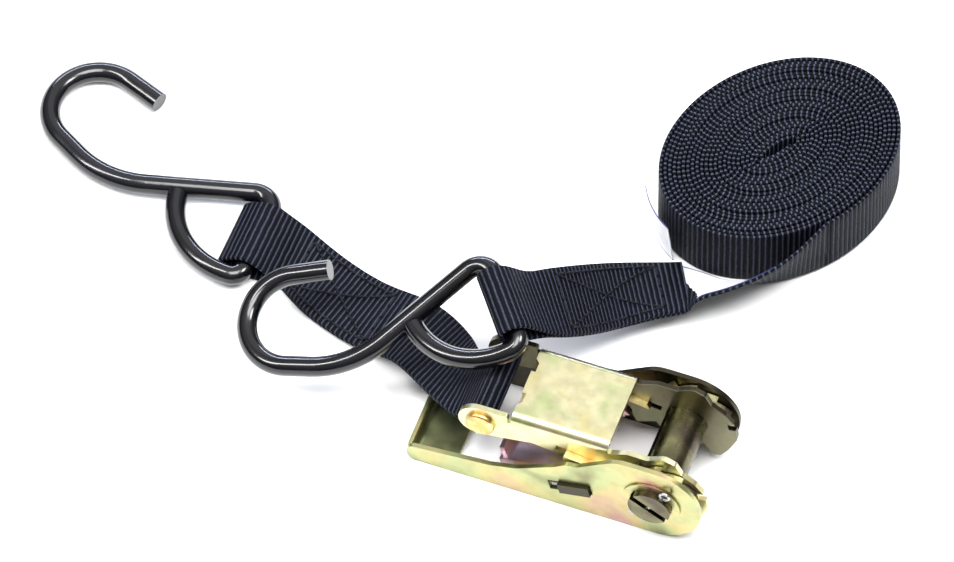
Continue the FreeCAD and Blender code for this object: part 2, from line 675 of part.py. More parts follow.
def long_strap_roll():
    outline = Part.Wire(Part.Ellipse(Vector(), ROLL_HALF_LONG, ROLL_HALF_SHORT).toShape())
    roll = Part.Face(outline).extrude(Z * WEB_WIDTH)
    core = box(-CORE_LENGTH / 2, CORE_LENGTH / 2, -CORE_WIDTH / 2, CORE_WIDTH / 2, -1, WEB_WIDTH + 1)
    roll = roll.cut(core)
    roll.rotate(Vector(), Z, ROLL_TURN)
    roll.translate(ROLL_CENTRE)
    return roll


def label_tag():
    """A blank tag sewn in at the lead's end: one leaf on the webbing, one curled round the roll."""
    base = WEB_THICK / 2 + 0.28
    top = base + LABEL_THICK
    far, near = LEAD_END_FAR, LEAD_END_NEAR
    across = (far - near).normalize()
    ahead = Vector(across.y, -across.x, 0).normalize()
    normal = ahead.cross(across).normalize()
    sections = [band_section((far + near) * 0.5 + ahead * 0.3, across, normal, base, top, LABEL_WIDTH)]
    for degrees, tilt in FALLEN_WRAP[:4]:
        middle, across, normal = rim_station(degrees, tilt)
        sections.append(band_section(middle, across, normal, base, top, LABEL_WIDTH))
    leaf = Part.makeLoft(sections, True, True)
    curl = []
    for step in range(6):
        degrees = CURL_START + CURL_STEP * step
        out = plan(degrees)
        foot = ROLL_CENTRE + out * (roll_radius(degrees) + 2.0) + Z * 1.0
        head = ROLL_CENTRE + out * (roll_radius(degrees) + 7.5) + Z * 23.0
        across = (foot - head).normalize()
        curl.append(band_section((foot + head) * 0.5, across, (out + Z * 0.25).normalize(),
                                 0, LABEL_THICK, (foot - head).Length))
    return Part.makeCompound([leaf, Part.makeLoft(curl, True, True)])


# ---------------------------------------------------------------- sewing
def stitches(surface_point, first, last, half_width):
    """Thread laid as a box with crossed diagonals. surface_point takes a share and a side offset."""
    corners = [(first, -half_width), (last, -half_width), (last, half_width), (first, half_width)]
    lines = [(corners[i], corners[(i + 1) % 4]) for i in range(4)]
    lines += [(corners[0], corners[2]), (corners[1], corners[3])]
    threads = []
    for (s0, v0), (s1, v1) in lines:
        length = (surface_point(s1, v1) - surface_point(s0, v0)).Length
        count = max(3, round(length / 5.0))
        for i in range(count):
            a, b = (i + 0.12) / count, (i + 0.88) / count
            start = surface_point(s0 + (s1 - s0) * a, v0 + (v1 - v0) * a)
            end = surface_point(s0 + (s1 - s0) * b, v0 + (v1 - v0) * b)
            threads.append(Part.makeCylinder(THREAD_RADIUS, (end - start).Length, start, end - start))
    return Part.makeCompound(threads)


def short_strap_stitching():
    curve = short_strap_route()

    def point(share, offset):
        middle, across, normal = short_strap_station(curve, share)
        return middle + across * offset + normal * (WEB_THICK + THREAD_RADIUS * 0.6)

    return stitches(point, 0.05, 0.46, WEB_WIDTH / 2 - 3)


def long_strap_stitching(ahead, side, up):
    curve = lead_route(lead_loop_direction(ahead, up), side)

    def point(share, offset):
        middle, across, normal = lead_station(curve, share, side)
        return middle + across * offset + normal * (LEAD_LAYERS[1] + THREAD_RADIUS * 0.6)

    return stitches(point, 0.16, 0.86, WEB_WIDTH / 2 - 3)


def save(name, shape):
    if not shape.isValid() or shape.Volume <= 0:
        print("check", name, "valid", shape.isValid(), "volume", round(shape.Volume, 2))
    shape.exportStep(os.path.join("parts", name + ".step"))


def main():
    os.makedirs("parts", exist_ok=True)
    nodes = {
        "base_frame": base_frame(), "strap_rivet": strap_rivet(),
        "lock_pawl": lock_pawl(), "lock_pawl_spring": lock_pawl_spring(),
        "handle_frame": handle_frame(), "drive_pawl": drive_pawl(),
        "drive_pawl_spring": drive_pawl_spring(),
        "mandrel_half_upper": mandrel_half(1), "mandrel_half_lower": mandrel_half(-1),
        "ratchet_wheel_near": ratchet_wheel(-1), "ratchet_wheel_far": ratchet_wheel(1),
        "washer_near": washer(-1), "washer_far": washer(1),
        "cotter_pin_near": split_pin(-1), "cotter_pin_far": split_pin(1),
    }
    nodes["s_hook_short"] = s_hook(SHORT_HOOK_BAR, SHORT_HOOK_TURN, SHORT_HOOK_RISE)[0]
    nodes["s_hook_long"], ahead, side, up = s_hook(LONG_HOOK_BAR, LONG_HOOK_TURN, LONG_HOOK_RISE)
    nodes["short_strap_webbing"] = short_strap_webbing()
    nodes["short_strap_stitching"] = short_strap_stitching()
    nodes["long_strap_roll"] = long_strap_roll()
    nodes["long_strap_lead"] = long_strap_lead(ahead, side, up)
    nodes["long_strap_stitching"] = long_strap_stitching(ahead, side, up)
    nodes["label_tag"] = label_tag().cut(nodes["long_strap_lead"])
    for name, shape in nodes.items():
        save(name, shape)


main()
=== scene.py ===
"""A ratchet tie-down in two pieces, lying on a pale surface. Metres, in the CAD's own frame."""
import json
import math

import bpy
import numpy as np
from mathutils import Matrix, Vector


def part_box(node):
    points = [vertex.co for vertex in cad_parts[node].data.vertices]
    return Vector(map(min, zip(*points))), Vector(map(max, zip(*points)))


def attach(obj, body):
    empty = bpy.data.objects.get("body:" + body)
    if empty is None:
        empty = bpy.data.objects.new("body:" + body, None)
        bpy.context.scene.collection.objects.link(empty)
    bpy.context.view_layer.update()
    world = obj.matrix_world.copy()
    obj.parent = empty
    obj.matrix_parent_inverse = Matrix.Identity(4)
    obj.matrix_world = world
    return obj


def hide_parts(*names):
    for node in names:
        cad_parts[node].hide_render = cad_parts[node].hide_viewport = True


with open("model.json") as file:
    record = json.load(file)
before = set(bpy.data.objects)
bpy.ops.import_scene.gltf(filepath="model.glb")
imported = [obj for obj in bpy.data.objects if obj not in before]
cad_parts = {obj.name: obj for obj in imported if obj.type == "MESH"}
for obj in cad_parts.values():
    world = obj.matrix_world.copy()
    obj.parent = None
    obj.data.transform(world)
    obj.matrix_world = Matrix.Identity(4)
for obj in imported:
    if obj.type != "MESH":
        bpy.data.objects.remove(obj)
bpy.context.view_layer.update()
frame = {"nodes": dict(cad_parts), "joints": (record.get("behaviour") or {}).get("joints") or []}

MM = 0.001
Y, Z = Vector((0, 1, 0)), Vector((0, 0, 1))

# ---- Webbing, as in the CAD ----
WIDTH = 27.0 * MM
THICK = 1.35 * MM       # a little under the CAD's 1.5 mm, so that layers don't touch
LAYER = 1.5 * MM        # from one layer's middle to the next
BAR_RADIUS = 3.75 * MM
RIVET_RADIUS = 3.0 * MM
LOOP_GAP = 0.6 * MM
LOOP_REACH = 14.0 * MM   # how far from a bar's centre its loop's two layers become parallel
WEB_LIFT = 0.12 * MM     # the webbing's underside above the surface
SHORT_LOOP_OFFSET = 0.8 * MM    # each loop sits off its bar's middle, clear of the bar's bends
LEAD_LOOP_OFFSET = 0.5 * MM
RIVET_LOOP_OFFSET = 0.8 * MM
STATION_SPACING = 1.5 * MM      # between points along a run of webbing
LABEL_WIDTH, LABEL_THICK = 24.0 * MM, 0.35 * MM

joints = {joint["name"]: joint for joint in frame["joints"]}


def joint_place(name):
    return Vector(joints[name]["pos_m"])


MANDREL = joint_place("handle_swing")
RIVET = joint_place("frame_swing") + Y * RIVET_LOOP_OFFSET
SHORT_BAR = joint_place("hook_short_swing")
SHORT_BAR_SIDE = Vector(joints["hook_short_swing"]["axis"])
SHORT_LOOP = SHORT_BAR + SHORT_BAR_SIDE * SHORT_LOOP_OFFSET
SHORT_ALONG = SHORT_BAR_SIDE.cross(Z)
LONG_BAR = joint_place("hook_long_swing")
LONG_BAR_SIDE = Vector(joints["hook_long_swing"]["axis"])
LEAD_LOOP = LONG_BAR + LONG_BAR_SIDE * LEAD_LOOP_OFFSET
roll_low, roll_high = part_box("long_strap_roll")
ROLL_CENTRE = Vector(((roll_low.x + roll_high.x) / 2, (roll_low.y + roll_high.y) / 2, 0))


# ---------------------------------------------------------------- camera, light and floor
CAMERA_TARGET = Vector((23.05, -17.8, 0.0)) * MM
CAMERA_AZIMUTH, CAMERA_ELEVATION = 20.0, 56.0
CAMERA_DISTANCE = 7.0
CAMERA_LENS, CAMERA_SENSOR = 726.0, 36.0
CAMERA_CLIP_END = 20.0

# name, azimuth, elevation, distance, (width, height), watts, colour
NEUTRAL, COOL = (1, 1, 1), (0.72, 0.80, 1.0)
LAMPS = [
    ("overhead", 200, 60, 1.0, (0.9, 0.9), 1.2, NEUTRAL),
    ("key", 20, 78, 1.2, (0.6, 0.6), 14, NEUTRAL),
    ("back", 205, 24, 1.1, (1.0, 0.08), 8, COOL),
    ("left", -60, 50, 1.0, (0.12, 0.7), 7, NEUTRAL),
    ("right", 100, 60, 1.0, (0.3, 0.3), 7, NEUTRAL),
]
# The sky's colour by height, from the floor up, and its strength.
SKY = [(0.05, (0.05, 0.05, 0.06, 1)), (0.75, (1, 1, 1, 1))]
SKY_STRENGTH = 0.55
FLOOR_SIZE, FLOOR_DROP = 6, 0.3 * MM
FLOOR_COLOUR, FLOOR_ROUGHNESS = (0.9, 0.9, 0.9, 1), 0.7


def way_back(azimuth, elevation):
    """The direction from the target back to the camera or a lamp."""
    a, e = math.radians(azimuth), math.radians(elevation)
    return Vector((math.sin(a) * math.cos(e), -math.cos(a) * math.cos(e), math.sin(e)))


def add_camera():
    data = bpy.data.cameras.new("camera")
    data.lens, data.sensor_width = CAMERA_LENS, CAMERA_SENSOR
    data.clip_end = CAMERA_CLIP_END
    camera = bpy.data.objects.new("camera", data)
    bpy.context.scene.collection.objects.link(camera)
    back = way_back(CAMERA_AZIMUTH, CAMERA_ELEVATION)
    camera.location = CAMERA_TARGET + back * CAMERA_DISTANCE
    camera.rotation_euler = back.to_track_quat("Z", "Y").to_euler()
    bpy.context.scene.camera = camera


def add_area(name, azimuth, elevation, distance, size, power, colour):
    data = bpy.data.lights.new(name, "AREA")
    data.shape, data.size, data.size_y = "RECTANGLE", size[0], size[1]
    data.energy, data.color = power, colour
    lamp = bpy.data.objects.new(name, data)
    bpy.context.scene.collection.objects.link(lamp)
    back = way_back(azimuth, elevation)
    lamp.location = CAMERA_TARGET + back * distance
    lamp.rotation_euler = back.to_track_quat("Z", "Y").to_euler()


def add_light():
    for lamp in LAMPS:
        add_area(*lamp)
    world = bpy.data.worlds.new("studio")
    bpy.context.scene.world = world
    world.use_nodes = True
    tree = world.node_tree
    background = tree.nodes["Background"]
    place = tree.nodes.new("ShaderNodeTexCoord")
    split = tree.nodes.new("ShaderNodeSeparateXYZ")
    ramp = tree.nodes.new("ShaderNodeValToRGB")
    tree.links.new(place.outputs["Generated"], split.inputs[0])
    tree.links.new(split.outputs["Z"], ramp.inputs["Fac"])
    for element, (position, colour) in zip(ramp.color_ramp.elements, SKY):
        element.position, element.color = position, colour
    tree.links.new(ramp.outputs["Color"], background.inputs["Color"])
    background.inputs["Strength"].default_value = SKY_STRENGTH


def add_floor():
    bpy.ops.mesh.primitive_plane_add(size=FLOOR_SIZE, location=(0, 0, -FLOOR_DROP))
    floor = bpy.context.object
    floor.name = "floor"
    material = bpy.data.materials.new("floor")
    material.use_nodes = True
    shader = material.node_tree.nodes["Principled BSDF"]
    shader.inputs["Base Color"].default_value = FLOOR_COLOUR
    shader.inputs["Roughness"].default_value = FLOOR_ROUGHNESS
    floor.data.materials.append(material)


# ---------------------------------------------------------------- materials
BLACK, WHITE = (0, 0, 0), (1, 1, 1)


class Nodes:
    """Builds a material's nodes. Each call adds one and returns its output."""

    def __init__(self, name, roughness, metallic=0.0):
        self.material = bpy.data.materials.new(name)
        self.material.use_nodes = True
        self.tree = self.material.node_tree
        self.shader = self.tree.nodes["Principled BSDF"]
        self.shader.inputs["Roughness"].default_value = roughness
        self.shader.inputs["Metallic"].default_value = metallic

    def put(self, value, socket):
        if isinstance(value, bpy.types.NodeSocket):
            self.tree.links.new(value, socket)
        else:
            socket.default_value = value

    def add(self, kind, output=0, settings=None, **inputs):
        node = self.tree.nodes.new(kind)
        for key, value in (settings or {}).items():
            setattr(node, key, value)
        for key, value in inputs.items():
            self.put(value, node.inputs[key.replace("_", " ")])
        return node.outputs[output]

    def maths(self, operation, a, b=0.0):
        node = self.tree.nodes.new("ShaderNodeMath")
        node.operation = operation
        self.put(a, node.inputs[0])
        self.put(b, node.inputs[1])
        return node.outputs[0]

    def noise(self, scale, detail=3.0, place=None, **inputs):
        place = place or self.place()
        return self.add("ShaderNodeTexNoise", Vector=place, Scale=scale, Detail=detail, **inputs)

    def place(self):
        """Object coordinates, in metres."""
        return self.add("ShaderNodeTexCoord", output=3)

    def cloth(self):
        """Along and across a ribbon, in metres."""
        return self.add("ShaderNodeUVMap", settings={"uv_map": "cloth"})

    def parts(self, vector):
        """A vector's x, y and z."""
        node = self.tree.nodes.new("ShaderNodeSeparateXYZ")
        self.put(vector, node.inputs[0])
        return node.outputs[0], node.outputs[1], node.outputs[2]

    def ramp(self, factor, stops):
        node = self.tree.nodes.new("ShaderNodeValToRGB")
        self.put(factor, node.inputs["Fac"])
        elements = node.color_ramp.elements
        while len(elements) < len(stops):
            elements.new(0.5)
        for element, (position, colour) in zip(elements, stops):
            element.position, element.color = position, (*colour, 1)
        return node.outputs["Color"]

    def mix(self, factor, a, b, blend="MIX"):
        node = self.tree.nodes.new("ShaderNodeMix")
        node.data_type, node.blend_type = "RGBA", blend
        self.put(factor, node.inputs[0])
        self.put((*a, 1) if isinstance(a, tuple) else a, node.inputs[6])
        self.put((*b, 1) if isinstance(b, tuple) else b, node.inputs[7])
        return node.outputs[2]

    def range(self, value, low, high):
        """A 0 to 1 value spread from low to high."""
        return self.maths("ADD", self.maths("MULTIPLY", value, high - low), low)

    def bump(self, height, distance, strength=1.0):
        bump = self.add("ShaderNodeBump", Height=height, Distance=distance, Strength=strength)
        self.tree.links.new(bump, self.shader.inputs["Normal"])

    def set(self, **inputs):
        for key, value in inputs.items():
            self.put(value, self.shader.inputs[key.replace("_", " ")])
        return self.material


def webbing_material():
    """Plain-weave polyester: ribs across the strap, each crossed by small glossy floats, with their
    highlights painted pale blue.
    """
    m = Nodes("webbing", 0.55)
    cloth = m.cloth()
    along, across, _ = m.parts(cloth)
    rib_pitch, float_pitch, rib_sway = 2.1 * MM, 1.05 * MM, 0.25 * MM
    sway = m.noise(260.0, 2.0, place=cloth)
    along = m.maths("ADD", along, m.range(sway, -rib_sway, rib_sway))
    rib_angle = m.maths("MULTIPLY", along, 2 * math.pi / rib_pitch)
    rib = m.maths("MULTIPLY", m.maths("ADD", m.maths("SINE", rib_angle), 1.0), 0.5)
    float_angle = m.maths("MULTIPLY", across, 2 * math.pi / float_pitch)
    half_step = m.maths("MULTIPLY", rib_angle, 0.5)
    floats = m.maths("MULTIPLY", m.maths("SINE", float_angle), m.maths("COSINE", half_step))
    floats = m.maths("ABSOLUTE", floats)
    height = m.maths("ADD", m.maths("MULTIPLY", rib, 0.75), m.maths("MULTIPLY", floats, 0.35))
    m.bump(height, 0.35 * MM)
    wear = m.noise(45.0, 4.0, place=cloth)
    base = m.ramp(wear, [(0.3, (0.0006, 0.0006, 0.001)), (0.7, (0.002, 0.0023, 0.005))])
    # Painted highlight: the rib tops and floats are painted pale blue where light would glint off them.
    painted_glint = m.maths("MULTIPLY", m.maths("POWER", rib, 4.0), floats)
    painted_glint = m.maths("MULTIPLY", painted_glint, m.range(m.noise(900.0, 1.0, place=cloth), 0.2, 1.0))
    colour = m.mix(m.maths("MULTIPLY", painted_glint, 0.8), base, (0.17, 0.20, 0.30))
    return m.set(Base_Color=colour, Specular_IOR_Level=0.07)


def thread_material():
    """Twisted black sewing thread."""
    m = Nodes("thread", 0.55)
    twist = m.add("ShaderNodeTexWave", output=1, settings={"bands_direction": "DIAGONAL"},
                  Vector=m.place(), Scale=900.0, Distortion=1.0)
    m.bump(twist, 0.1 * MM)
    # Painted highlight: the twist's crests are painted lighter and bluer than its grooves.
    colour = m.ramp(twist, [(0.2, (0.002, 0.002, 0.003)), (0.9, (0.012, 0.014, 0.022))])
    return m.set(Base_Color=colour, Specular_IOR_Level=0.2)


def label_material():
    """Blank woven label, a little soiled, with painted shade in dark blue along its edges."""
    m = Nodes("label", 0.75)
    cloth = m.cloth()
    weave = m.add("ShaderNodeTexWave", output=1, settings={"bands_direction": "Y"},
                  Vector=cloth, Scale=700.0, Distortion=0.4)
    soil = m.noise(60.0, 3.0, place=cloth)
    colour = m.ramp(soil, [(0.3, (0.62, 0.63, 0.68)), (0.7, (0.80, 0.80, 0.83))])
    _, across, _ = m.parts(cloth)
    # Painted shade: the label's long edges are painted dark blue, standing in for their shadowed rims.
    edge = m.maths("MULTIPLY", m.maths("ABSOLUTE", across), 2 / LABEL_WIDTH)
    edge = m.ramp(edge, [(0.90, BLACK), (0.95, WHITE)])
    colour = m.mix(edge, colour, (0.03, 0.04, 0.16))
    m.bump(weave, 0.06 * MM)
    return m.set(Base_Color=colour, Sheen_Weight=0.1)


def vinyl_material():
    """Glossy black dip coat, a little uneven."""
    m = Nodes("vinyl", 0.16)
    m.bump(m.noise(90.0, 2.0), 0.35 * MM, 0.35)
    m.set(Roughness=m.range(m.noise(140.0, 4.0), 0.10, 0.26))
    colour = m.ramp(m.noise(35.0), [(0.3, (0.001, 0.001, 0.0015)), (0.7, (0.003, 0.003, 0.006))])
    return m.set(Base_Color=colour, Coat_Weight=0.25, Coat_Roughness=0.06)


def zinc_material(name, tints, roughness=0.3, blotch=55.0, dirt=0.5, shade=1.0, dark=None):
    """Yellow chromate zinc: thin-film tints drift over the sheet, with darker smears.

    dark is (y, way): painted shade darkens the sheet beyond y, towards +y or -y.
    """
    m = Nodes(name, roughness, metallic=1.0)
    drift = m.noise(blotch, 2.5, Distortion=0.6)
    colour = m.ramp(drift, tints)
    smear = m.ramp(m.noise(blotch * 5, 4.0), [(0.45, BLACK), (0.8, WHITE)])
    smear_tint = tuple(c * 0.35 for c in tints[0][1])
    colour = m.mix(m.maths("MULTIPLY", smear, dirt * 0.5), colour, smear_tint)
    colour = m.mix(1.0, colour, (shade, shade, shade), "MULTIPLY")
    # Painted shade: beyond y the sheet is painted near black, for the side turned away from the light.
    if dark:
        start, way = dark
        fade = 2 * MM
        _, y, _ = m.parts(m.place())
        beyond = m.maths("MULTIPLY", m.maths("SUBTRACT", y, start), way / fade)
        colour = m.mix(m.ramp(beyond, [(0.0, BLACK), (1.0, WHITE)]), colour, (0.05, 0.045, 0.03))
    m.bump(m.noise(1500.0, 2.0), 0.02 * MM, 0.5)
    polish = m.range(m.noise(220.0, 4.0), roughness - 0.08, roughness + 0.14)
    return m.set(Base_Color=colour, Roughness=polish)


def steel_material():
    """Plain spring steel, for the springs and cotter pins."""
    m = Nodes("spring_steel", 0.3, metallic=1.0)
    colour = m.ramp(m.noise(300.0), [(0.3, (0.30, 0.30, 0.31)), (0.7, (0.55, 0.55, 0.56))])
    m.bump(m.noise(2500.0, 2.0), 0.02 * MM, 0.4)
    return m.set(Base_Color=colour)


GOLD = (0.84, 0.74, 0.34)
LIME = (0.66, 0.72, 0.36)
ROSE = (0.80, 0.50, 0.42)
STRAW = (0.86, 0.80, 0.50)
COPPER = (0.80, 0.42, 0.14)
OLIVE = (0.36, 0.35, 0.18)
UMBER = (0.16, 0.13, 0.09)
MAUVE = (0.75, 0.55, 0.62)
# How far from the mandrel's middle, along y, each sheet part's painted shade begins.
FRAME_SHADE_START, HANDLE_SHADE_START, PLATE_SHADE_START = 13.5 * MM, 15.5 * MM, -17.0 * MM


def paint_cad():
    """Every CAD node that stays on show gets its finish."""
    plate = zinc_material("zinc_plate", [(0.32, LIME), (0.5, STRAW), (0.72, GOLD)],
                          shade=0.8, dark=(MANDREL.y + FRAME_SHADE_START, 1))
    handle = zinc_material("zinc_handle", [(0.30, OLIVE), (0.45, LIME), (0.58, GOLD), (0.72, ROSE)],
                           blotch=38.0, shade=0.6, dark=(MANDREL.y + HANDLE_SHADE_START, 1))
    orange = zinc_material("zinc_orange", [(0.35, COPPER), (0.6, GOLD), (0.75, OLIVE)],
                           roughness=0.32, blotch=90.0, dirt=0.9)
    rose = zinc_material("zinc_rose", [(0.35, ROSE), (0.55, MAUVE), (0.7, GOLD)],
                         dark=(MANDREL.y + PLATE_SHADE_START, -1))
    dark = zinc_material("zinc_dark", [(0.35, UMBER), (0.55, OLIVE), (0.72, GOLD)],
                         roughness=0.36, blotch=90.0, dirt=0.9)
    drum = zinc_material("zinc_drum", [(0.40, UMBER), (0.6, OLIVE), (0.8, GOLD)],
                         roughness=0.24, blotch=50.0, shade=0.5)
    rivet = zinc_material("zinc_rivet", [(0.35, OLIVE), (0.55, COPPER), (0.72, GOLD)],
                          roughness=0.32, blotch=150.0, dirt=0.9)
    steel = steel_material()
    vinyl = vinyl_material()
    thread = thread_material()
    finishes = {
        "base_frame": plate, "handle_frame": handle, "lock_pawl": orange, "drive_pawl": rose,
        "strap_rivet": rivet, "ratchet_wheel_near": dark, "ratchet_wheel_far": dark,
        "mandrel_half_lower": drum, "mandrel_half_upper": drum,
        "washer_near": handle, "washer_far": dark, "cotter_pin_near": steel, "cotter_pin_far": steel,
        "lock_pawl_spring": steel, "drive_pawl_spring": steel,
        "s_hook_short": vinyl, "s_hook_long": vinyl,
        "short_strap_stitching": thread, "long_strap_stitching": thread,
    }
    for node, material in finishes.items():
        for slot in frame["nodes"][node].material_slots:
            slot.material = material


# ---------------------------------------------------------------- curves and ribbons
def spline(points, spacing):
    """Points along a natural cubic curve through the given ones."""
    knots = np.array([list(p) for p in points])
    chord = np.concatenate([[0], np.cumsum(np.linalg.norm(np.diff(knots, axis=0), axis=1))])
    n = len(knots)
    system, right = np.zeros((n, n)), np.zeros((n, 3))
    gaps = np.diff(chord)
    for i in range(1, n - 1):
        before, after = gaps[i - 1], gaps[i]
        system[i, i - 1:i + 2] = 1 / before, 2 / before + 2 / after, 1 / after
        right[i] = 3 * ((knots[i] - knots[i - 1]) / before ** 2 + (knots[i + 1] - knots[i]) / after ** 2)
    for row, step, gap in ((0, 1, gaps[0]), (n - 1, -1, gaps[-1])):
        system[row, row], system[row, row + step] = 2, 1
        right[row] = 3 * (knots[row + step] - knots[row]) / gap * step
    slopes = np.linalg.solve(system, right)
    count = max(4, round(chord[-1] / spacing))
    out = []
    for s in np.linspace(0, chord[-1], count + 1):
        i = min(np.searchsorted(chord, s, side="right") - 1, n - 2)
        h = gaps[i]
        t = (s - chord[i]) / h
        out.append((2 * t ** 3 - 3 * t ** 2 + 1) * knots[i] + (t ** 3 - 2 * t ** 2 + t) * h * slopes[i]
                   + (3 * t ** 2 - 2 * t ** 3) * knots[i + 1] + (t ** 3 - t ** 2) * h * slopes[i + 1])
    return [Vector(p) for p in out]


def hull(points):
    """The convex outline of flat (a, b) points, anticlockwise."""
    ordered = sorted(set(points))

    def chain(sequence):
        kept = []
        for p in sequence:
            while len(kept) > 1:
                (ax, ay), (bx, by) = kept[-2], kept[-1]
                if (bx - ax) * (p[1] - ay) - (by - ay) * (p[0] - ax) > 0:
                    break
                kept.pop()
            kept.append(p)
        return kept[:-1]

    return chain(ordered) + chain(ordered[::-1])


def loop_line(circles, low, high):
    """The webbing's middle round the circles, from its upper layer's end to its lower one's."""
    points = [(LOOP_REACH, low), (LOOP_REACH, high)]
    sides = 48
    for a, b, radius in circles:
        for step in range(sides):
            angle = 2 * math.pi * step / sides
            points.append((a + radius * math.cos(angle), b + radius * math.sin(angle)))
    outline = hull([(round(a, 7), round(b, 7)) for a, b in points])
    start = outline.index((round(LOOP_REACH, 7), round(high, 7)))
    return outline[start:] + outline[:start]


class Strip:
    """A run of webbing: its middle line and the direction across it at each point."""

    def __init__(self):
        self.points, self.acrosses = [], []

    def add(self, point, across):
        self.points.append(Vector(point))
        self.acrosses.append(Vector(across).normalized())

    def add_loop(self, centre, along, across, circles, low, high, from_upper=True):
        """Adds the run round a bar. The circles are (along, up, radius) from its centre."""
        up = across.cross(along).normalized()
        if up.z < 0:
            up = -up
        line = loop_line(circles, low, high)
        for a, b in (line if from_upper else line[::-1]):
            self.add(centre + along * a + up * b, across)

    def even(self, spacing, closed):
        """Respaces the points evenly along the strip."""
        points = [list(p) for p in self.points]
        acrosses = [list(a) for a in self.acrosses]
        if closed:
            points.append(points[0])
            acrosses.append(acrosses[0])
        points, acrosses = np.array(points), np.array(acrosses)
        run = np.concatenate([[0], np.cumsum(np.linalg.norm(np.diff(points, axis=0), axis=1))])
        count = round(run[-1] / spacing)
        places = np.linspace(0, run[-1], count + 1)
        if closed:
            places = places[:-1]
        self.points = [Vector([np.interp(s, run, points[:, k]) for k in range(3)]) for s in places]
        self.acrosses = [Vector([np.interp(s, run, acrosses[:, k]) for k in range(3)]).normalized()
                         for s in places]

    def smooth(self, rounds, closed):
        """Webbing turns no corner sharply, so each point is drawn between its neighbours."""
        for values, unit in ((self.points, False), (self.acrosses, True)):
            data = np.array([list(v) for v in values])
            for _ in range(rounds):
                if closed:
                    data = (np.roll(data, 1, 0) + 2 * data + np.roll(data, -1, 0)) / 4
                else:
                    data[1:-1] = (data[:-2] + 2 * data[1:-1] + data[2:]) / 4
            values[:] = [Vector(row).normalized() if unit else Vector(row) for row in data]

    def length(self, closed):
        steps = zip(self.points, self.points[1:] + (self.points[:1] if closed else []))
        return sum((b - a).length for a, b in steps)


# One side of the webbing's section: (share of half width, share of half thickness).
SECTION = [(-1.0, 0.0), (-0.985, 0.75), (-0.95, 1.0), (-0.6, 1.0), (-0.2, 1.0), (0.2, 1.0),
           (0.6, 1.0), (0.95, 1.0), (0.985, 0.75)]


def ribbon(name, strip, material, body, width=WIDTH, thick=THICK, closed=False):
    """A mesh round the strip, riding on the body, with (along, across) in metres as its UVs."""
    outline = SECTION + [(-v, -n) for v, n in SECTION]
    count, around = len(strip.points), len(outline)
    vertices, places = [], []
    run = 0.0
    for i, (point, across) in enumerate(zip(strip.points, strip.acrosses)):
        before = strip.points[i - 1] if i or closed else point
        after = strip.points[(i + 1) % count] if i + 1 < count or closed else point
        normal = (after - before).cross(across).normalized()
        if i:
            run += (point - before).length
        for v, n in outline:
            vertices.append(point + across * (v * width / 2) + normal * (n * thick / 2))
            places.append((run, v * width / 2))
    faces = []
    for i in range(count if closed else count - 1):
        j = (i + 1) % count
        for k in range(around):
            faces.append((i * around + k, i * around + (k + 1) % around,
                          j * around + (k + 1) % around, j * around + k))
    if not closed:
        faces.append(tuple(range(around)))
        faces.append(tuple((count - 1) * around + k for k in reversed(range(around))))
    mesh = bpy.data.meshes.new(name)
    mesh.from_pydata(vertices, [], faces)
    mesh.polygons.foreach_set("use_smooth", [True] * len(faces))
    layer = mesh.uv_layers.new(name="cloth")
    total = run + (strip.points[-1] - strip.points[0]).length
    for polygon in mesh.polygons:
        wraps = closed and max(polygon.vertices) - min(polygon.vertices) > 2 * around
        for corner in polygon.loop_indices:
            vertex = mesh.loops[corner].vertex_index
            along, across = places[vertex]
            if wraps and vertex < around:
                along = total
            layer.data[corner].uv = (along, across)
    mesh.materials.append(material)
    piece = bpy.data.objects.new(name, mesh)
    bpy.context.scene.collection.objects.link(piece)
    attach(piece, body)
    return piece


def run_directions(middles):
    """(share of the run, middle, direction) at each point."""
    last = len(middles) - 1
    for i, middle in enumerate(middles):
        ahead = middles[min(i + 1, last)] - middles[max(i - 1, 0)]
        yield i / last, middle, ahead.normalized()


# ---------------------------------------------------------------- the short strap
SHORT_STRAP_ROUTE = [Vector(p) * MM for p in (
    (-31.65, -38.2, 1.95), (-17.65, -44.6, 3.4), (-3.65, -49.2, 5.8), (12.35, -54.0, 11.0),
    (27.35, -63.2, 13.8))]
RIVET_LOOP_FALL = 40.0      # degrees below level at which the strap leaves the rivet
SHORT_STRAP_TILT = 11.0     # degrees that the strap rolls sideways, at its middle
TILT_ROOM = 0.7             # most of the room under an edge that the tilt may take
# A round in the loop's tail, which keeps the lower layer flat on the surface: (along, radius).
TAIL_ALONG, TAIL_RADIUS = -8.0 * MM, 1.9 * MM


def short_strap_stations():
    """(middle, across, normal) along the doubled part, from the hook's loop to the rivet's."""
    fall = math.radians(180 + RIVET_LOOP_FALL)
    leaving = Vector((math.cos(fall), 0, math.sin(fall)))
    first = SHORT_LOOP + SHORT_ALONG * LOOP_REACH
    first.z = LAYER + WEB_LIFT
    last = RIVET + leaving * LOOP_REACH
    middles = spline([first] + SHORT_STRAP_ROUTE + [last], STATION_SPACING)
    stations = []
    for share, middle, ahead in run_directions(middles):
        flat = Vector((-ahead.y, ahead.x, 0)).normalized()
        weight = math.sin(math.pi * share)
        end_across = SHORT_BAR_SIDE if share < 0.5 else Y
        across = (end_across * (1 - weight) + flat * weight).normalized()
        room = max(0.0, middle.z - LAYER) / (WIDTH / 2)
        tilt = min(math.radians(SHORT_STRAP_TILT) * weight, TILT_ROOM * room)
        across = (across * math.cos(tilt) + Z * math.sin(tilt)).normalized()
        stations.append((middle, across, ahead.cross(across).normalized()))
    return stations, leaving


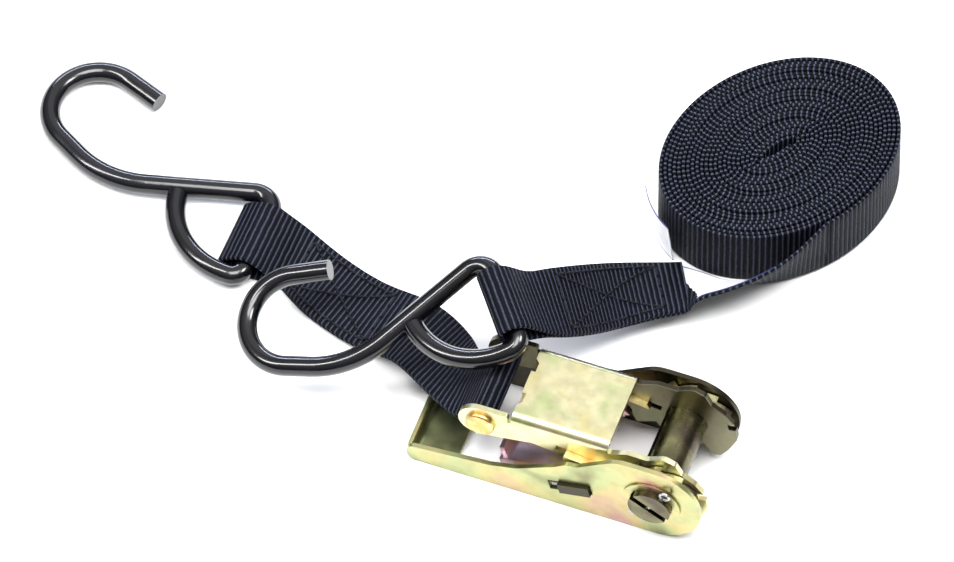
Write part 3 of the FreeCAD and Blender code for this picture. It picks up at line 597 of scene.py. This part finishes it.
def make_short_strap(material):
    stations, leaving = short_strap_stations()
    strip = Strip()
    half = LAYER / 2
    for middle, across, normal in stations[1:-1]:
        strip.add(middle - normal * half, across)
    strip.add_loop(RIVET, leaving, Y, [(0, 0, RIVET_RADIUS + LOOP_GAP + half)], -half, half,
                   from_upper=False)
    for middle, across, normal in reversed(stations[1:-1]):
        strip.add(middle + normal * half, across)
    floor = WEB_LIFT - SHORT_BAR.z
    strip.add_loop(SHORT_LOOP, SHORT_ALONG, SHORT_BAR_SIDE,
                   [(TAIL_ALONG, floor + TAIL_RADIUS + LAYER, TAIL_RADIUS + half),
                    (0, 0, BAR_RADIUS + LOOP_GAP + half)],
                   floor + half, floor + 3 * half)
    strip.even(1.2 * MM, closed=True)
    strip.smooth(5, closed=True)
    piece = ribbon("short_webbing", strip, material, "short_strap", closed=True)
    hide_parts("short_strap_webbing")
    strip.length(closed=True)


# ---------------------------------------------------------------- the long strap
ROLL_LONG, ROLL_SHORT, ROLL_TURN = 48.1 * MM, 36.7 * MM, math.radians(55.0)
CORE_LONG, CORE_SHORT = 7.4 * MM, 1.6 * MM
LEAD_ROUTE = [Vector(p) * MM for p in (
    (65.85, -31.2, 27.0), (74.35, -17.4, 15.0), (84.05, -6.9, 8.0))]
LEAD_END_FAR = Vector((90.75, 13.4, 0.85)) * MM
LEAD_END_NEAR = Vector((102.55, -9.6, 8.2)) * MM
LEAD_DROP = math.radians(55.0)
LONG_HOOK_RISE = (0.278, 0.327)     # slope of the hook's plane along x and along y
LEAD_ROUND = (-2.5 * MM, 4.1 * MM)  # widens the lead's loop behind the bar: (along, radius)
# Where the outer wrap has fallen: (angle round the roll, tilt), both in degrees.
FALLEN_WRAP = [(-97, 37), (-89, 47), (-80, 57), (-71, 66), (-61, 76), (-51, 85), (-43, 90)]


def roll_radius(angle):
    """From the roll's centre to its outside."""
    turn = angle - ROLL_TURN
    return ROLL_LONG * ROLL_SHORT / math.hypot(ROLL_SHORT * math.cos(turn), ROLL_LONG * math.sin(turn))


def rim_station(degrees, tilt, low=0.8 * MM):
    """The outer wrap leaning outward from the roll's lower rim, tilt 90 where it stands upright."""
    angle, lean = math.radians(degrees), math.radians(tilt)
    out = Vector((math.cos(angle), math.sin(angle), 0))
    rise = out * math.cos(lean) + Z * math.sin(lean)
    normal = Z * math.cos(lean) - out * math.sin(lean)
    foot = ROLL_CENTRE + out * (roll_radius(angle) + low) + Z * low
    return foot + rise * (WIDTH / 2), -rise, normal


def lead_stations(along):
    """(middle, across, normal) of the lead's lower layer, from its hook to the roll's side."""
    end = (LEAD_END_FAR + LEAD_END_NEAR) / 2
    middles = spline([LEAD_LOOP + along * LOOP_REACH] + LEAD_ROUTE + [end], STATION_SPACING)
    end_across = (LEAD_END_FAR - LEAD_END_NEAR).normalized()
    stations = []
    for share, middle, ahead in run_directions(middles):
        across = LONG_BAR_SIDE * (1 - share) + end_across * share
        across = (across + Z * (2 * share * (1 - share) ** 2)).normalized()
        stations.append((middle, across, ahead.cross(across).normalized()))
    return stations


def lead_direction():
    """The lead leaves steeply below the plane of its hook, straight out from the hook's bar."""
    up = Vector((-LONG_HOOK_RISE[0], -LONG_HOOK_RISE[1], 1)).normalized()
    ahead = up.cross(LONG_BAR_SIDE).normalized()
    return (ahead * -math.cos(LEAD_DROP) - up * math.sin(LEAD_DROP)).normalized()


def make_long_strap(material):
    along = lead_direction()
    stations = lead_stations(along)
    strip = Strip()
    for middle, across, normal in reversed(stations[1:]):
        strip.add(middle + normal * LAYER, across)
    half = LAYER / 2
    strip.add_loop(LEAD_LOOP, along, LONG_BAR_SIDE,
                   [(LEAD_ROUND[0], 0, LEAD_ROUND[1] + half), (0, 0, BAR_RADIUS + LOOP_GAP + half)],
                   0, LAYER)
    for middle, across, _ in stations[1:-1]:
        strip.add(middle, across)
    for degrees, tilt in FALLEN_WRAP:
        middle, across, _ = rim_station(degrees, tilt)
        strip.add(middle, across)
    strip.even(STATION_SPACING, closed=False)
    strip.smooth(6, closed=False)
    add_roll_turns(strip, FALLEN_WRAP[-1][0])
    piece = ribbon("long_webbing", strip, material, "long_strap")
    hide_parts("long_strap_roll", "long_strap_lead")
    strip.length(closed=False)


# The outermost turn starts outside the roll's oval and eases in over its first part.
TURN_START, TURN_EASE, TURN_SETTLE = -0.8 * MM, 1.55 * MM, math.radians(80)
TURN_SPACING = 2.6 * MM
TURN_LIFT_START, TURN_LIFT_DROP = 0.8, 0.5      # the lower edge above the surface, in mm
TURN_RIPPLE = ((0.28, 0.37, 1.3), (0.22, 1.83, 0.0))    # (mm, rate, phase) along its angle


def add_roll_turns(strip, start_degrees):
    """Carries the strip on round the roll, one layer further in with each turn, to the core."""
    start = math.radians(start_degrees) - ROLL_TURN
    phase = math.atan2(math.sin(start) / ROLL_SHORT, math.cos(start) / ROLL_LONG)
    depth_range = ROLL_SHORT - CORE_SHORT
    shrink = (ROLL_LONG - CORE_LONG) / depth_range
    angle = 0.0
    while True:
        eased = min(1.0, angle / TURN_SETTLE)
        depth = TURN_START + TURN_EASE * eased * eased * (3 - 2 * eased)
        depth += LAYER * max(0.0, angle - TURN_SETTLE) / (2 * math.pi)
        if depth > depth_range:
            break
        a, b = ROLL_LONG - depth * shrink, ROLL_SHORT - depth
        x, y = a * math.cos(phase + angle), b * math.sin(phase + angle)
        turned = Vector((x * math.cos(ROLL_TURN) - y * math.sin(ROLL_TURN),
                         x * math.sin(ROLL_TURN) + y * math.cos(ROLL_TURN), 0))
        ripple = sum(size * math.sin(rate * angle + shift) for size, rate, shift in TURN_RIPPLE)
        height = WIDTH / 2 + (TURN_LIFT_START - TURN_LIFT_DROP * eased + ripple * eased) * MM
        strip.add(ROLL_CENTRE + turned + Z * height, -Z)
        speed = math.hypot(a * math.sin(phase + angle), b * math.cos(phase + angle))
        angle += TURN_SPACING / max(speed, TURN_SPACING)


# ---------------------------------------------------------------- the label
LEAF_LIFT = LAYER / 2 + 0.3 * MM    # the leaf's middle above the webbing's middle
LEAF_START = 0.3 * MM
LEAF_WRAP = FALLEN_WRAP[:4]
# The curl stands beside the roll: its angles round it, and how far out its foot and head are.
CURL_START, CURL_STEP, CURL_COUNT = -121, -4.5, 6
CURL_FOOT_OUT, CURL_HEAD_OUT = 1.4 * MM, 4.0 * MM
CURL_FOOT_HEIGHT, CURL_HEAD_HEIGHT = 1.0 * MM, 23.0 * MM


def make_leaf():
    """The leaf that lies over the fallen wrap, from the end of the lead's upper layer."""
    leaf = Strip()
    far, near = LEAD_END_FAR, LEAD_END_NEAR
    across = (far - near).normalized()
    ahead = Vector((across.y, -across.x, 0)).normalized()
    up = ahead.cross(across).normalized()
    leaf.add((far + near) / 2 + ahead * LEAF_START + up * LEAF_LIFT, across)
    for degrees, tilt in LEAF_WRAP:
        middle, across, normal = rim_station(degrees, tilt)
        leaf.add(middle + normal * LEAF_LIFT, across)
    leaf.even(STATION_SPACING, closed=False)
    leaf.smooth(4, closed=False)
    return leaf


def make_curl():
    """The leaf that curls up beside the roll."""
    curl = Strip()
    for step in range(CURL_COUNT):
        angle = math.radians(CURL_START + CURL_STEP * step)
        out = Vector((math.cos(angle), math.sin(angle), 0))
        edge = roll_radius(angle)
        foot = ROLL_CENTRE + out * (edge + CURL_FOOT_OUT) + Z * CURL_FOOT_HEIGHT
        head = ROLL_CENTRE + out * (edge + CURL_HEAD_OUT) + Z * CURL_HEAD_HEIGHT
        curl.add((foot + head) / 2, foot - head)
    curl.even(STATION_SPACING, closed=False)
    return curl


def make_label(material):
    for name, strip in (("label_leaf", make_leaf()), ("label_curl", make_curl())):
        piece = ribbon(name, strip, material, "long_strap", LABEL_WIDTH, LABEL_THICK)
        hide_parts("label_tag")
        strip.length(closed=False)


bpy.context.scene.view_settings.view_transform = "Standard"
add_camera()
webbing = webbing_material()
make_short_strap(webbing)
make_long_strap(webbing)
make_label(label_material())
add_light()
add_floor()
paint_cad()

bpy.context.view_layer.update()
